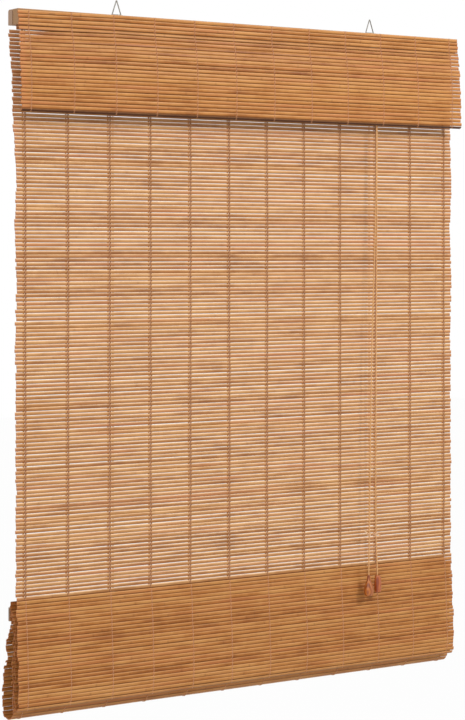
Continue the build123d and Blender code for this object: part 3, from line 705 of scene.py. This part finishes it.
def make_slat_tree():
    """Slats across a path, one to a row."""
    tree, sizes, result = new_tree("woven_slats", {
        "Slat Height": "Float", "Slat Thickness": "Float", "Pitch": "Float", "Left": "Float",
        "Right": "Float", "End Play": "Float", "Side Drift": "Float", "Lean Play": "Float",
        "Height Play": "Float", "Row Drift": "Float", "Wave": "Float", "Seed": "Int", "Finish": "Material",
    })
    path = put(tree, "GeometryNodeMeshToCurve", {"Mesh": sizes["Geometry"]}).outputs[0]
    rows, pitch = even_rows(tree, path, sizes)
    row = put(tree, "GeometryNodeInputIndex").outputs[0]
    spot = spot_on_path(tree, path, plus(tree, row_start(tree, row, pitch, sizes), times(tree, pitch, 0.5)))
    seats = put(tree, "GeometryNodeMeshLine", {"Count": rows}, mode="OFFSET").outputs[0]
    seats = moved(tree, seats, Position=slat_middle(tree, row, spot["Position"], sizes))
    narrower = random_value(tree, minus(tree, 1.0, sizes["Height Play"]), 1.0, sizes, 4)
    slats = put(tree, "GeometryNodeInstanceOnPoints", {
        "Points": seats, "Instance": slat_shape(tree, sizes),
        "Rotation": slat_facing(tree, spot["Tangent"], sizes), "Scale": vector(tree, 1.0, narrower, narrower),
    }).outputs[0]
    slats = marked(tree, slats, "slat_tint", random_value(tree, 0.0, 1.0, sizes, 3), "INSTANCE")
    slats = put(tree, "GeometryNodeRealizeInstances", {"Geometry": slats}).outputs[0]
    finish_tree(tree, swaying(tree, slats, sizes), sizes, result)
    return tree


# Threads: two on each line, which cross between the slats


def strand(tree, points, cell, over_slat, phase, spot, sizes):
    """One thread of a pair: before one slat and behind the next, crossing its twin in each gap."""
    outward = vector_calc(tree, "CROSS_PRODUCT", spot["Tangent"], (1, 0, 0))
    half_slat = times(tree, sizes["Slat Thickness"], 0.5)
    stand_off = plus(tree, half_slat, times(tree, sizes["Thread Radius"], 0.6))
    turn = calc(tree, "MODULO", plus(tree, cell, phase), 2.0)
    side = minus(tree, times(tree, turn, 2.0), 1.0)
    lift_off = times(tree, times(tree, side, over_slat), stand_off)
    crossing = times(tree, minus(tree, 1.0, over_slat), sizes["Cross Width"])
    sideways = times(tree, side, plus(tree, crossing, times(tree, sizes["Thread Radius"], 0.3)))
    shift = put(tree, "ShaderNodeVectorMath", {0: outward, "Scale": lift_off}, operation="SCALE").outputs[0]
    shift = vector_calc(tree, "ADD", shift, vector(tree, sideways))
    laid = moved(tree, points, Position=vector_calc(tree, "ADD", spot["Position"], shift))
    return put(tree, "GeometryNodeMeshToCurve", {"Mesh": laid}).outputs[0]


def make_thread_tree():
    """Pairs of threads along a path, on every line of the weave."""
    tree, sizes, result = new_tree("weave_threads", {
        "Slat Thickness": "Float", "Pitch": "Float", "Thread Radius": "Float", "Cross Width": "Float",
        "Lines": "Int", "First Line": "Float", "Line Spacing": "Float", "Wander": "Float",
        "Row Drift": "Float", "Seed": "Int", "Finish": "Material",
    })
    path = put(tree, "GeometryNodeMeshToCurve", {"Mesh": sizes["Geometry"]}).outputs[0]
    rows, pitch = even_rows(tree, path, sizes)

    # Four points to a row: the first in the gap, three over the slat
    points = put(tree, "GeometryNodeMeshLine", {"Count": times(tree, rows, 4.0)}, mode="OFFSET").outputs[0]
    index = put(tree, "GeometryNodeInputIndex").outputs[0]
    cell = calc(tree, "FLOOR", calc(tree, "DIVIDE", index, 4.0))
    step = minus(tree, index, times(tree, cell, 4.0))
    over_slat = calc(tree, "MINIMUM", step, 1.0)
    along = plus(tree, row_start(tree, cell, pitch, sizes), times(tree, step, times(tree, pitch, 0.25)))
    spot = spot_on_path(tree, path, along)
    # The gap points are marked for the thread's painted shade there
    points = marked(tree, points, "thread_in_gap", minus(tree, 1.0, over_slat))

    both = put(tree, "GeometryNodeJoinGeometry")
    for phase in (0.0, 1.0):
        tree.links.new(strand(tree, points, cell, over_slat, phase, spot, sizes), both.inputs[0])
    section = put(tree, "GeometryNodeCurvePrimitiveCircle",
                  {"Resolution": 4, "Radius": sizes["Thread Radius"]}).outputs[0]
    threads = put(tree, "GeometryNodeCurveToMesh",
                  {"Curve": both.outputs[0], "Profile Curve": section, "Fill Caps": True}).outputs[0]
    lines = put(tree, "GeometryNodeMeshLine", {
        "Count": sizes["Lines"], "Start Location": vector(tree, sizes["First Line"]),
        "Offset": vector(tree, sizes["Line Spacing"]),
    }, mode="OFFSET").outputs[0]
    threads = put(tree, "GeometryNodeInstanceOnPoints", {"Points": lines, "Instance": threads}).outputs[0]
    threads = put(tree, "GeometryNodeRealizeInstances", {"Geometry": threads}).outputs[0]
    wander = put(tree, "ShaderNodeTexNoise", {"Vector": here(tree), "Scale": 14.0, "Detail": 1.0}).outputs[0]
    wander = times(tree, minus(tree, wander, 0.5), sizes["Wander"])
    finish_tree(tree, moved(tree, threads, Offset=vector(tree, wander)), sizes, result)
    return tree


slat_tree = make_slat_tree()
thread_tree = make_thread_tree()


def weave(name, path_points, left, right, slat_finish, thread_finish, seed, slat_height=0.0061,
          first_line=FIRST_THREAD_X, lean=4.0, wave=0.0011, end_play=0.0014, side_drift=0.005, drift=0.0009,
          height_play=0.08, thread_radius=0.0010, cross_width=0.0026):
    """Slats and threads of one mat along a path of (y, z) points, as two pieces."""
    points = [(0, y, z) for y, z in path_points]
    shared = {"Slat Thickness": SLAT_THICKNESS, "Pitch": PITCH, "Row Drift": drift, "Seed": seed}
    slats = grow(name + "_slats", soft_line(points), slat_tree, {
        **shared, "Slat Height": slat_height, "Left": left, "Right": right, "End Play": end_play,
        "Side Drift": side_drift, "Lean Play": radians(lean), "Height Play": height_play, "Wave": wave,
        "Finish": slat_finish,
    })
    threads = grow(name + "_threads", soft_line(points), thread_tree, {
        **shared, "Thread Radius": thread_radius, "Cross Width": cross_width, "Lines": THREAD_LINES,
        "First Line": first_line, "Line Spacing": THREAD_SPACING, "Wander": THREAD_WANDER,
        "Finish": thread_finish,
    })
    return slats, threads


def flare_left_end(piece, top, fade, reach):
    """Draw a mat's left end out towards the top, as its slats do below the rail."""
    for vertex in piece.data.vertices:
        if fade < vertex.co.z < top:
            share = ((vertex.co.z - fade) / (top - fade)) ** 2
            vertex.co.x -= reach * share * (MAT_RIGHT - vertex.co.x) / (MAT_RIGHT - MAT_LEFT)


def open_left_gap(piece, level, bottom, sink, gap, reach):
    """Open a gap between two rows at a mat's left end: the rows above sink a little, those below more."""
    for vertex in piece.data.vertices:
        share = max(0.0, 1 - (vertex.co.x - VALANCE_LEFT) / reach)
        if vertex.co.z > level:
            vertex.co.z -= sink * share
        else:
            vertex.co.z -= (sink + gap) * share * (vertex.co.z - bottom) / (level - bottom)


# Main mat: its first rows held between the boards, the rest hanging free
held_slats, held_threads = weave(
    "held", ((0, MAT_TOP), (0, FREE_TOP)), MAT_LEFT, MAT_RIGHT, main_bamboo, main_thread, 5,
    drift=0.0, wave=0.0, side_drift=0.0)
main_slats, main_threads = weave(
    "main", ((0, FREE_TOP), (0, -0.2), (0, STACK_TOP + MAT_END_GAP)), MAT_LEFT, MAT_RIGHT,
    main_bamboo, main_thread, 11)
belongs(main_slats, "head", "main_mat")
for piece in (main_threads, held_slats, held_threads):
    belongs(piece, "head")
for piece, reach in ((main_slats, 0.013), (main_threads, 0.003)):
    flare_left_end(piece, FREE_TOP, -0.35, reach)
    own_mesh(piece)

# Valance flap: flat on the rail, standing out below it, and curled under at its lower edge
valance_path = (
    (-0.0204, 0), (-0.0204, -0.025), (-0.0209, -0.028), (-0.0299, -0.075), (-0.0299, -0.1575),
    (-0.0297, -0.1612), (-0.0255, -0.1640),
)
valance_slats, valance_threads = weave(
    "valance", valance_path, VALANCE_LEFT, VALANCE_RIGHT, valance_bamboo, band_thread, 23,
    slat_height=0.0062, first_line=-0.4385, lean=6.0, side_drift=0.003, thread_radius=0.0006,
    cross_width=0.0012)
belongs(valance_slats, "head", "valance_mat")
belongs(valance_threads, "head")
for piece in (valance_slats, valance_threads):
    open_left_gap(piece, level=-0.0316, bottom=-0.16, sink=0.0024, gap=0.0014, reach=0.13)

# Folded stack at the bottom
stack_path = (
    (0, 0), (-0.008, -0.102), (-0.008, -0.1745), (0.0024, -0.1745), (0.0060, -0.120), (0.0035, -0.070),
    (0.0055, -0.017), (0.0125, -0.017), (0.0085, -0.080), (0.0125, -0.140), (0.009, -0.1920),
    (0.046, -0.1925), (0.0440, -0.1500), (0.0390, -0.1300), (0.0370, -0.1050), (0.0225, -0.0930),
    (0.0390, -0.0740), (0.0180, -0.0520), (0.0194, -0.002),
)
stack_slats, stack_threads = weave(
    "stack", [(y, STACK_TOP + z) for y, z in stack_path], MAT_LEFT, MAT_RIGHT,
    band_bamboo, band_thread, 37, slat_height=0.0065, first_line=-0.4325, lean=6.0, drift=0.0008,
    height_play=0.07, end_play=0.002, thread_radius=0.0006, cross_width=0.0012)
belongs(stack_slats, "stack", "folded_mat")
belongs(stack_threads, "stack")


# Turned wooden ends of the pull cords


def lathe(name, profile, centre_x, finish, sides=40):
    """A closed profile of (radius, z) points turned about the upright axis of a wooden end."""
    verts = []
    for turn in range(sides):
        angle = 2 * pi * turn / sides
        verts += [(centre_x + r * cos(angle), WOODEN_END_Y + r * sin(angle), z) for r, z in profile]
    count = len(profile)
    faces = [
        (turn * count + i, turn * count + (i + 1) % count,
         (turn + 1) % sides * count + (i + 1) % count, (turn + 1) % sides * count + i)
        for turn in range(sides) for i in range(count)
    ]
    mesh = bpy.data.meshes.new(name)
    mesh.from_pydata(verts, [], faces)
    return finished(name, mesh, finish)


def wooden_end_profile(top, outline, recess):
    """A smooth outline of (radius, drop) points below the top, then the recess and bore as they are."""
    outer = line_points([(r, 0, top - drop) for r, drop in outline])
    return [(p.x, p.z) for p in outer] + [(r, top - drop) for r, drop in recess]


acorn_outline = (
    (WOODEN_END_BORE, 0.0002), (0.0022, 0.0), (0.0030, 0.0004), (0.0031, 0.003), (0.0034, 0.007),
    (0.0048, 0.012), (0.0064, 0.017), (0.0082, 0.023), (0.0088, 0.029), (0.0080, 0.0345), (0.0060, 0.0368),
    (0.0044, 0.037),
)
acorn_recess = ((0.0042, 0.0366), (0.0042, 0.028), (WOODEN_END_BORE, 0.028))
barrel_outline = (
    (WOODEN_END_BORE, 0.0002), (0.0026, 0.0), (0.0043, 0.0002), (0.0050, 0.002), (0.0058, 0.006),
    (0.0063, 0.012), (0.0064, 0.018), (0.0062, 0.025), (0.0056, 0.0293), (0.0048, 0.030), (0.0041, 0.030),
)
barrel_recess = ((0.0039, 0.0296), (0.0039, 0.021), (WOODEN_END_BORE, 0.021))
acorn_profile = wooden_end_profile(ACORN_TOP, acorn_outline, acorn_recess)
acorn = lathe("acorn", acorn_profile, ACORN_X, acorn_wood)
belongs(acorn, "pulls", "tassel_left")
barrel_profile = wooden_end_profile(BARREL_TOP, barrel_outline, barrel_recess)
barrel = lathe("barrel", barrel_profile, BARREL_X, barrel_wood)
belongs(barrel, "pulls", "tassel_right")


# Knots, each an overhand knot pulled tight, with or without a tail


def knot(name, centres, finish, tails=None, size=KNOT_SIZE):
    """Pulled knots of the cord itself round these centres."""
    parts = []
    for number, centre in enumerate(centres):
        turns = []
        for i in range(18):
            t = 2 * pi * i / 18
            side, front, rise = sin(t) + 2 * sin(2 * t), cos(t) - 2 * cos(2 * t), -sin(3 * t) * 2.2
            turns.append(Vector(centre) + Vector((side * size, front * size, rise * size)))
        parts.append(tube_along(name + "_loops", turns, CORD_RADIUS * 0.95, finish,
                                closed=True, sides=8, step=0.0008))
        if tails:
            parts.append(tube_along(name + "_tail", [Vector(centre) + Vector(p) for p in tails[number]],
                                    CORD_RADIUS, finish, sides=8, step=0.001))
    return joined(name, parts)


left_knot = knot("left_stop", [(0.2483, -0.0183, PULL_KNOT_LEVEL)], knot_finish,
                 [((-0.001, -0.001, 0), (-0.004, -0.002, 0.003), (-0.011, -0.001, 0.006))], PULL_KNOT_SIZE)
right_knot = knot("right_stop", [(0.2620, -0.0184, PULL_KNOT_LEVEL)], knot_finish,
                  [((0.001, -0.001, 0), (0.005, -0.002, -0.001), (0.012, -0.001, -0.005))], PULL_KNOT_SIZE)
end_places = [(ACORN_X, WOODEN_END_Y, -0.993), (BARREL_X, WOODEN_END_Y, -0.988)]
end_knots = knot("end_knots", end_places, cord_finish)
belongs(left_knot, "pulls", "cord_knot_left")
belongs(right_knot, "pulls", "cord_knot_right")
belongs(end_knots, "pulls", "tassel_knots")

low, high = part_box("lift_cord_knots")
hem_places = [(x, (low.y + high.y) / 2, (low.z + high.z) / 2) for x in LIFT_CORD_XS]
hem_knots = knot("hem_knots", hem_places, cord_finish)
belongs(hem_knots, "stack", "lift_cord_knots")

# Pull cords hang from the lock, lift cords run taut from it to the hem; the pull cords' transforms are baked
for name, pieces in (("pull_cord_left", [acorn, left_knot]), ("pull_cord_right", [barrel, right_knot])):
    length, route = cord_runs[name]
    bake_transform(cords[name])
    line_points(route)

for name in ("lift_cord_left", "lift_cord_right"):
    length, route = cord_runs[name]
    line_points(route)[::-1]


# Rings behind the mat


def ring(name, centre, upright=False, sides=28, around=10):
    """A moulded cord ring with a round section."""
    verts, faces = [], []
    for i in range(sides):
        a = 2 * pi * i / sides
        for j in range(around):
            b = 2 * pi * j / around
            reach = RING_RADIUS + RING_SECTION * cos(b)
            flat = (reach * cos(a), reach * sin(a), RING_SECTION * sin(b))
            x, y, z = (flat[0], flat[2], flat[1]) if upright else flat
            verts.append((centre[0] + x, centre[1] + y, centre[2] + z))
            faces.append((i * around + j, i * around + (j + 1) % around,
                          (i + 1) % sides * around + (j + 1) % around, (i + 1) % sides * around + j))
    mesh = bpy.data.meshes.new(name)
    mesh.from_pydata(verts, [], faces)
    return finished(name, mesh, ring_plastic)


for node, level in (("upper_rings", -0.248), ("lower_rings", -0.598)):
    rings = joined(node + "_moulded", [ring(node, (x, RING_Y, level)) for x in LIFT_CORD_XS])
    belongs(rings, node, node)
stack_rings = joined("stack_rings_moulded", [
    ring("stack_ring", (x, y, STACK_TOP - drop), upright)
    for x in LIFT_CORD_XS for y, drop, upright in STACK_RINGS])
belongs(stack_rings, "stack", "stack_rings")

# Hanger wires: half a triangle, then the same points mirrored
half_wire = (
    (0.0002, WIRE_Z), (HANGER_CORNER - 0.003, WIRE_Z), (HANGER_CORNER, WIRE_Z),
    (HANGER_CORNER - 0.001, WIRE_Z + 0.003), (0.001, APEX_Z - 0.003),
)
for side, name in ((-1, "hanger_left"), (1, "hanger_right")):
    middle = side * HANGER_X
    points = [(middle - out, 0, z) for out, z in half_wire] + [(middle, 0, APEX_Z)]
    points += [(middle + out, 0, z) for out, z in half_wire[::-1]]
    wire = tube_along(name + "_wire", points, WIRE_RADIUS, hanger_steel, sides=12, step=0.0008)
    belongs(wire, name, name)

# Screw eye: a ring of wire that ends in a shank
low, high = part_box("screw_eye")
eye_x = (low.x + high.x) / 2
eye_z = low.z + EYE_RADIUS + EYE_WIRE_RADIUS
eye_points = [(eye_x, EYE_Y + EYE_RADIUS * sin(a), eye_z + EYE_RADIUS * cos(a))
              for a in [radians(d) for d in range(20, 345, 25)]]
eye_points += [(eye_x, EYE_Y, eye_z + EYE_RADIUS), (eye_x, EYE_Y, eye_z + EYE_RADIUS + 0.002),
               (eye_x, EYE_Y, high.z)]
eye = tube_along("screw_eye_wire", eye_points, EYE_WIRE_RADIUS, screw_zinc, sides=12, step=0.0008)
belongs(eye, "head", "screw_eye")

# Finishes of the solids that stay
for node, finish in (
    ("rail_back_board", rear_board_wood), ("rail_front_board", front_board_wood),
    ("bottom_batten", batten_wood), ("rail_screws", screw_zinc), ("strap_screws", screw_zinc),
    ("cord_lock_screws", screw_zinc), ("hanger_strap_left", strap_zinc), ("hanger_strap_right", strap_zinc),
    ("valance_staples", staple_steel), ("cord_lock_housing", lock_plastic), ("cord_lock_bars", bar_steel),
    ("cord_guide_post", bar_steel), ("lock_roller", roller_brass),
):
    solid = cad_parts[node]
    solid.data.materials.clear()
    solid.data.materials.append(finish)


# World and floor: white to the camera, glossy and clear rays, and plain light on the piece


def seen_white(tree):
    """One for the rays that see the surroundings, and nothing for those that light the piece."""
    rays = put(tree, "ShaderNodeLightPath").outputs
    clear = calc(tree, "MAXIMUM", rays["Is Glossy Ray"], rays["Is Transmission Ray"])
    return calc(tree, "MAXIMUM", rays["Is Camera Ray"], clear)


world = bpy.data.worlds.new("white_room")
scene.world = world
world.use_nodes = True
sky = world.node_tree
sky.nodes.clear()
background = put(sky, "ShaderNodeBackground", {
    "Color": (1, 1, 1, 1), "Strength": spread(sky, seen_white(sky), 0.0, 1.0, 0.52, 1.0),
})
put(sky, "ShaderNodeOutputWorld", {"Surface": background.outputs[0]})

floor_mesh = bpy.data.meshes.new("floor")
floor_mesh.from_pydata([(-12, -12, FLOOR_Z), (12, -12, FLOOR_Z), (12, 14, FLOOR_Z), (-12, 14, FLOOR_Z)],
                       [], [(0, 1, 2, 3)])
floor = bpy.data.objects.new("floor", floor_mesh)
scene.collection.objects.link(floor)
floor_finish = bpy.data.materials.new("floor_finish")
floor_finish.use_nodes = True
tree = floor_finish.node_tree
tree.nodes.clear()
matt = put(tree, "ShaderNodeBsdfDiffuse", {"Color": (0.85, 0.85, 0.85, 1)}).outputs[0]
white = put(tree, "ShaderNodeEmission", {"Color": (1, 1, 1, 1), "Strength": 1.0}).outputs[0]
surface = put(tree, "ShaderNodeMixShader", {0: times(tree, seen_white(tree), 0.97), 1: matt, 2: white})
put(tree, "ShaderNodeOutputMaterial", {"Surface": surface.outputs[0]})
floor_mesh.materials.append(floor_finish)


def lamp(name, place, aim, size, power):
    """A soft square lamp aimed at a point."""
    data = bpy.data.lights.new(name, "AREA")
    data.size = size
    data.energy = power
    made = bpy.data.objects.new(name, data)
    made.location = place
    made.rotation_euler = (Vector(aim) - Vector(place)).to_track_quat("-Z", "Y").to_euler()
    scene.collection.objects.link(made)


lamp("key", (1.6, -2.5, 1.3), (0, 0, -0.55), 0.7, 56)
lamp("fill", (-2.6, -1.6, 0.4), (0, 0, -0.5), 1.6, 24)

scene.view_settings.view_transform = "Standard"
